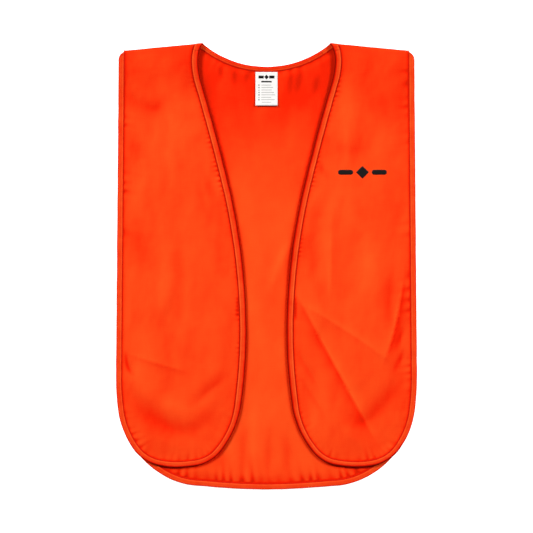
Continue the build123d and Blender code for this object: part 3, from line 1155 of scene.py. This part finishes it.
front_outline = front_loop()
for side, label in ((1, "left"), (-1, "right")):
    seed = front_seed(side)
    cloth = panel_cloth(
        f"{label}_front_cloth", f"{label}_front_panel", f"{label}_front", front_outline, FRONT_STEP,
        LEFT_FRONT_CREASES if side > 0 else RIGHT_FRONT_CREASES, lambda at: front_surface(at, side), side,
    )
    sewn = front_edge(label, side, seed)
    fold_piece, fold_size = fold_cloth(f"{label}_shoulder_cloth", side, front_outline)
    neck_part = near_fold_part(NECK_LINE[NECK_LINE[:, 0] > 0], False, TAIL)
    opening_part = near_fold_part(FRONT_LINE[: len(FRONT_LINE) // 4], True, TAIL)[::-1]
    side_part = near_fold_part(side_line(), False, TAIL)
    neck_widths, side_widths = (NECK_BIND_WIDTH, OPENING_BIND_WIDTH), (HEM_BIND_WIDTH, HEM_BIND_WIDTH)
    fold_edges = [
        *fold_binding(f"{label}_neck_fold", side, neck_part, opening_part, neck_widths, True, seed + 340),
        *fold_binding(f"{label}_side_fold", side, side_part, side_part[::-1], side_widths, False, seed + 360),
    ]
    across = (side * NECK_HALF_WIDTH * MM, TOP_Y * MM)
    fold_start, fold_end = (*across, BLEND_LOW * MM), (*across, BLEND_HIGH * MM)
    for piece in (fold_piece, *fold_edges):
        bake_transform(piece)
        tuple(fold_start)
        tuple(fold_end)
    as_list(sewn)

# ---- shoulder seam allowances, inside

SEAM_U = (15, 128)  # along the fold
SEAM_T = (3.6, 13.2)  # below it
SEAM_STEP = 1.6
SEAM_ROWS = 8
SEAM_HALF_THICKNESS = np.array([0, 0, 0.14])
ZIGZAG_STEP, ZIGZAG_WIDTH = 1.3, 3.7  # of the overlocked edge
ZIGZAG_OVER = 0.1  # how far it goes over the raw edge


def seam_height(points):
    """Top of the back's cloth near the shoulder."""
    return back_surface(points)[0] + CLOTH_THICKNESS / 2


def seam_points(u, t, rise=None):
    """Points u along the fold and t below it, rise above the back's cloth if it is given."""
    points = FOLD_ORIGIN + np.outer(u, FOLD_U) - np.outer(t, FOLD_V)
    return points if rise is None else np.column_stack([points, seam_height(points) + rise])


def capsules(starts, ends, radius):
    """Short lengths of thread between pairs of points."""
    length = np.linalg.norm(ends - starts, axis=1).mean()
    forward = unit(ends - starts)
    up = unit(np.array([0, 0, 1.0]) - forward * forward[:, 2:3])
    return stitch_rows((starts + ends) / 2, forward, up, length * 1.05, radius)


u = np.arange(SEAM_U[0], SEAM_U[1] + 0.1, SEAM_STEP)
grid_u, grid_t = np.tile(u, SEAM_ROWS), np.repeat(np.linspace(*SEAM_T, SEAM_ROWS), len(u))
rise = 0.20 + 0.10 * smoothstep(grid_t, *SEAM_T) * (1 + wander(grid_u, 9, 61))
middle = seam_points(grid_u, grid_t, rise)
faces, rim = grid_mesh(SEAM_ROWS, len(u), flipped=True)
seam = closed_layers(middle + SEAM_HALF_THICKNESS, middle - SEAM_HALF_THICKNESS, faces, rim)

line_u = np.arange(SEAM_U[0] + 1, SEAM_U[1] - 1, STITCH_PITCH)
tops = seam_points(line_u, np.full_like(line_u, SEAM_T[0] + 1.6), 0.42)
locked = stitch_rows(tops, np.tile([*FOLD_U, 0.0], (len(tops), 1)), np.tile([0, 0, 1.0], (len(tops), 1)))
zig_u = np.arange(SEAM_U[0] + 1, SEAM_U[1] - 1, ZIGZAG_STEP)
outer_t = SEAM_T[1] + ZIGZAG_OVER
zig_t = np.where(np.arange(len(zig_u)) % 2 == 0, outer_t - ZIGZAG_WIDTH, outer_t)
zig = seam_points(zig_u, zig_t, 0.50)
seam_thread = joined([locked, capsules(zig[:-1], zig[1:], 0.2)])
for side, label in ((1, "left"), (-1, "right")):
    allowance = make_piece(f"{label}_seam_allowance", *seam, shell, side)
    finish(allowance, "back", [f"{label}_shoulder_seam"])
    sewing = make_piece(f"{label}_seam_thread", *seam_thread, thread, side)
    finish(sewing, "back", [f"{label}_shoulder_stitching"])

# ---- care label

LABEL_WIDTH, LABEL_LENGTH = 38, 58
LABEL_TOP = TOP_Y - NECK_DEPTH - 9 - 0.3  # clear of the neck's binding in CAD, as in part.py
LABEL_THICKNESS = 0.24
LABEL_STEP = 1.6
PRINT_STEP = 1.2
INK = (LABEL_THICKNESS / 2 - 0.02, LABEL_THICKNESS / 2 + 0.05)  # bottom and top, over the label's middle


def label_height(points):
    """Middle of the label: held at its top, lifting a little towards its lower corners."""
    across = np.abs(points[:, 0]) / (LABEL_WIDTH / 2)
    down = np.clip((LABEL_TOP - points[:, 1]) / LABEL_LENGTH, 0, 1)
    ripple = 0.12 * np.sin(5.5 * down) * np.sin(2.2 * across + 0.7)
    return 1.95 + 1.5 * down**2.5 + 0.55 * across**2 * down + ripple


def slab(outline, bottom, top, surface, step):
    """A thin closed shape that follows a surface, from bottom to top above it."""
    at, triangles = fill(outline, step)
    z = surface(at)
    layers = [np.column_stack([at, z + height]) for height in (top, bottom)]
    return closed_layers(*layers, triangles, list(range(len(outline))))


def printed(outlines, surface, step=PRINT_STEP, levels=INK):
    """Print on a surface, one thin shape for each outline."""
    return joined([slab(outline, *levels, surface, step) for outline in outlines])


def edged(outline, step=PRINT_STEP):
    """A closed outline of straight runs with points step apart and its corners kept."""
    outline = np.array(outline, float)
    runs = [resample(np.array([a, b]), step)[:-1] for a, b in zip(outline, np.roll(outline, -1, axis=0))]
    return np.vstack(runs)


def block(width, height, centre, step=PRINT_STEP):
    """A rectangle's outline, anticlockwise."""
    x, y = centre
    w, h = width / 2, height / 2
    return edged([(x - w, y - h), (x + w, y - h), (x + w, y + h), (x - w, y + h)], step)


def disc(centre, radius, count=14):
    angle = np.arange(count) * 2 * np.pi / count
    return np.array(centre) + radius * np.stack([np.cos(angle), np.sin(angle)], 1)


def at_label(x, down):
    """A place on the label, down from its top edge."""
    return (x, LABEL_TOP - down)


outline = block(LABEL_WIDTH, LABEL_LENGTH, at_label(0, LABEL_LENGTH / 2), LABEL_STEP)
sheet = slab(outline, -LABEL_THICKNESS / 2, LABEL_THICKNESS / 2, label_height, LABEL_STEP)
care_label = make_piece("care_label_ribbon", *sheet, ribbon)
finish(care_label, "care_label", ["care_label"])

black_shapes = [
    block(9.0, 5.0, at_label(-9.2, 8.6)),
    block(9.0, 5.0, at_label(9.2, 8.6)),
    edged([at_label(0, 12.6), at_label(4, 8.6), at_label(0, 4.6), at_label(-4, 8.6)]),
    block(18, 2.6, at_label(0, 16.6)),
]
grey_shapes = []
for k, line_length in enumerate((17, 20, 18, 22, 24, 17, 23)):
    down = 22.5 + 4.2 * k
    grey_shapes.append(block(line_length, 0.8, at_label(-9 + line_length / 2, down)))
    ix, iy = icon = at_label(-13, down)
    left, right, top = (ix - 1.4, iy - 1.1), (ix + 1.4, iy - 1.1), (ix, iy + 1.4)
    triangle = resample([left, right, top, left], PRINT_STEP)
    grey_shapes.append((disc(icon, 1.3), block(2.3, 2.3, icon), triangle[:-1])[k % 3])
grey_shapes.append(block(16, 0.8, at_label(0, 52)))
label_print = []
for name, shapes, material in (("mark", black_shapes, ink), ("lines", grey_shapes, grey_ink)):
    label_print.append(make_piece(f"care_label_{name}", *printed(shapes, label_height), material))
    finish(label_print[-1], "care_label")

x = np.arange(-LABEL_WIDTH / 2 + 1.6, LABEL_WIDTH / 2 - 1, 2.6)
at = np.column_stack([x, np.full_like(x, LABEL_TOP - 0.9)])
tops = np.column_stack([at, label_height(at) + LABEL_THICKNESS / 2 + 0.06])
rightwards, upwards = (np.tile(axis, (len(at), 1)) for axis in ([1.0, 0, 0], [0, 0, 1.0]))
sewing = stitch_rows(tops, rightwards, upwards, 2.1, 0.22)
label_stitches = make_piece("care_label_stitches", *sewing, white_thread)
finish(label_stitches, "back", ["care_label_stitching"])
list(back_edge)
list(back_neck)

# ---- chest emblem

EMBLEM = (165, 162)
DIAMOND = 22
BAR_LENGTH, BAR_WIDTH, BAR_STEP = 26, 8.5, 29
EMBLEM_STEP = 1.4
EMBLEM_INK = (CLOTH_THICKNESS / 2 - 0.03, CLOTH_THICKNESS / 2 + 0.07)


def bar_outline(centre):
    """A bar with round ends."""
    half = (BAR_LENGTH - BAR_WIDTH) / 2
    angle = np.linspace(-np.pi / 2, np.pi / 2, 9)
    cap = BAR_WIDTH / 2 * np.stack([np.cos(angle), np.sin(angle)], 1)
    ends = np.vstack([cap + (half, 0), -cap - (half, 0)])
    return resample(np.vstack([ends, ends[:1]]), 1.0)[:-1] + centre


ex, ey = EMBLEM
half = DIAMOND / 2
diamond = edged([(ex + half, ey), (ex, ey + half), (ex - half, ey), (ex, ey - half)], EMBLEM_STEP)
shapes = [diamond, bar_outline((ex - BAR_STEP, ey)), bar_outline((ex + BAR_STEP, ey))]
vertices, faces = printed(shapes, lambda at: front_surface(at, 1)[0], EMBLEM_STEP, EMBLEM_INK)
finish(make_piece("chest_emblem", vertices, faces, ink), "left_front", ["chest_print"])

# ---- stage, light and camera

FLOOR_HALF = 3.0
KEY = ((-10.2, 9.0, 7.8), 2590)  # place and power
FILL = ((11.1, 6.6, 8.1), 2030)
LIGHT_SIZE = 3.6
HORIZON_GLOW = {1: 0.10, 2: 0.45, 3: 0.95, 4: 0.06}  # from and to: pale near the horizon, dim above
VIEW_WIDTH = 0.9168  # what the camera sees across, on the vest's plane
CAMERA_HEIGHT = 3.0
SENSOR = 36.0

bpy.ops.mesh.primitive_plane_add(size=2 * FLOOR_HALF, location=(0, 0, -0.0004))
floor = bpy.context.active_object
floor.name = "floor"
pale = Nodes("pale_floor")
pale.settle(
    {
        "Base Color": (0.90, 0.90, 0.90, 1),
        "Roughness": 0.9,
        "Specular IOR Level": 0.0,
        "Emission Color": (1, 1, 1, 1),
        "Emission Strength": 0.80,
    }
)
floor.data.materials.append(pale.material)


def in_scene(name, data, place):
    """A light or camera at a place."""
    thing = bpy.data.objects.new(name, data)
    thing.location = place
    bpy.context.scene.collection.objects.link(thing)
    return thing


for name, (place, power) in (("key", KEY), ("fill", FILL)):
    data = bpy.data.lights.new(name, "AREA")
    data.shape, data.size, data.energy = "SQUARE", LIGHT_SIZE, power
    in_scene(name, data, place).rotation_euler = (-Vector(place)).to_track_quat("-Z", "Y").to_euler()
world = bpy.data.worlds.new("studio")
world.use_nodes = True
wires = world.node_tree
wires.nodes["Background"].inputs["Color"].default_value = (1, 1, 1, 1)
direction = wires.nodes.new("ShaderNodeTexCoord")
parts = wires.nodes.new("ShaderNodeSeparateXYZ")
glow = wires.nodes.new("ShaderNodeMapRange")
for socket, value in HORIZON_GLOW.items():
    glow.inputs[socket].default_value = value
wires.links.new(direction.outputs["Generated"], parts.inputs[0])
wires.links.new(parts.outputs["Z"], glow.inputs[0])
wires.links.new(glow.outputs[0], wires.nodes["Background"].inputs["Strength"])
bpy.context.scene.world = world

camera_data = bpy.data.cameras.new("camera")
camera_data.sensor_width = SENSOR
camera_data.lens = SENSOR * CAMERA_HEIGHT / VIEW_WIDTH
camera_data.clip_end = 50
bpy.context.scene.camera = in_scene("camera", camera_data, (0, 0, CAMERA_HEIGHT + FOLD_Z * MM))
bpy.context.scene.view_settings.view_transform = "Standard"
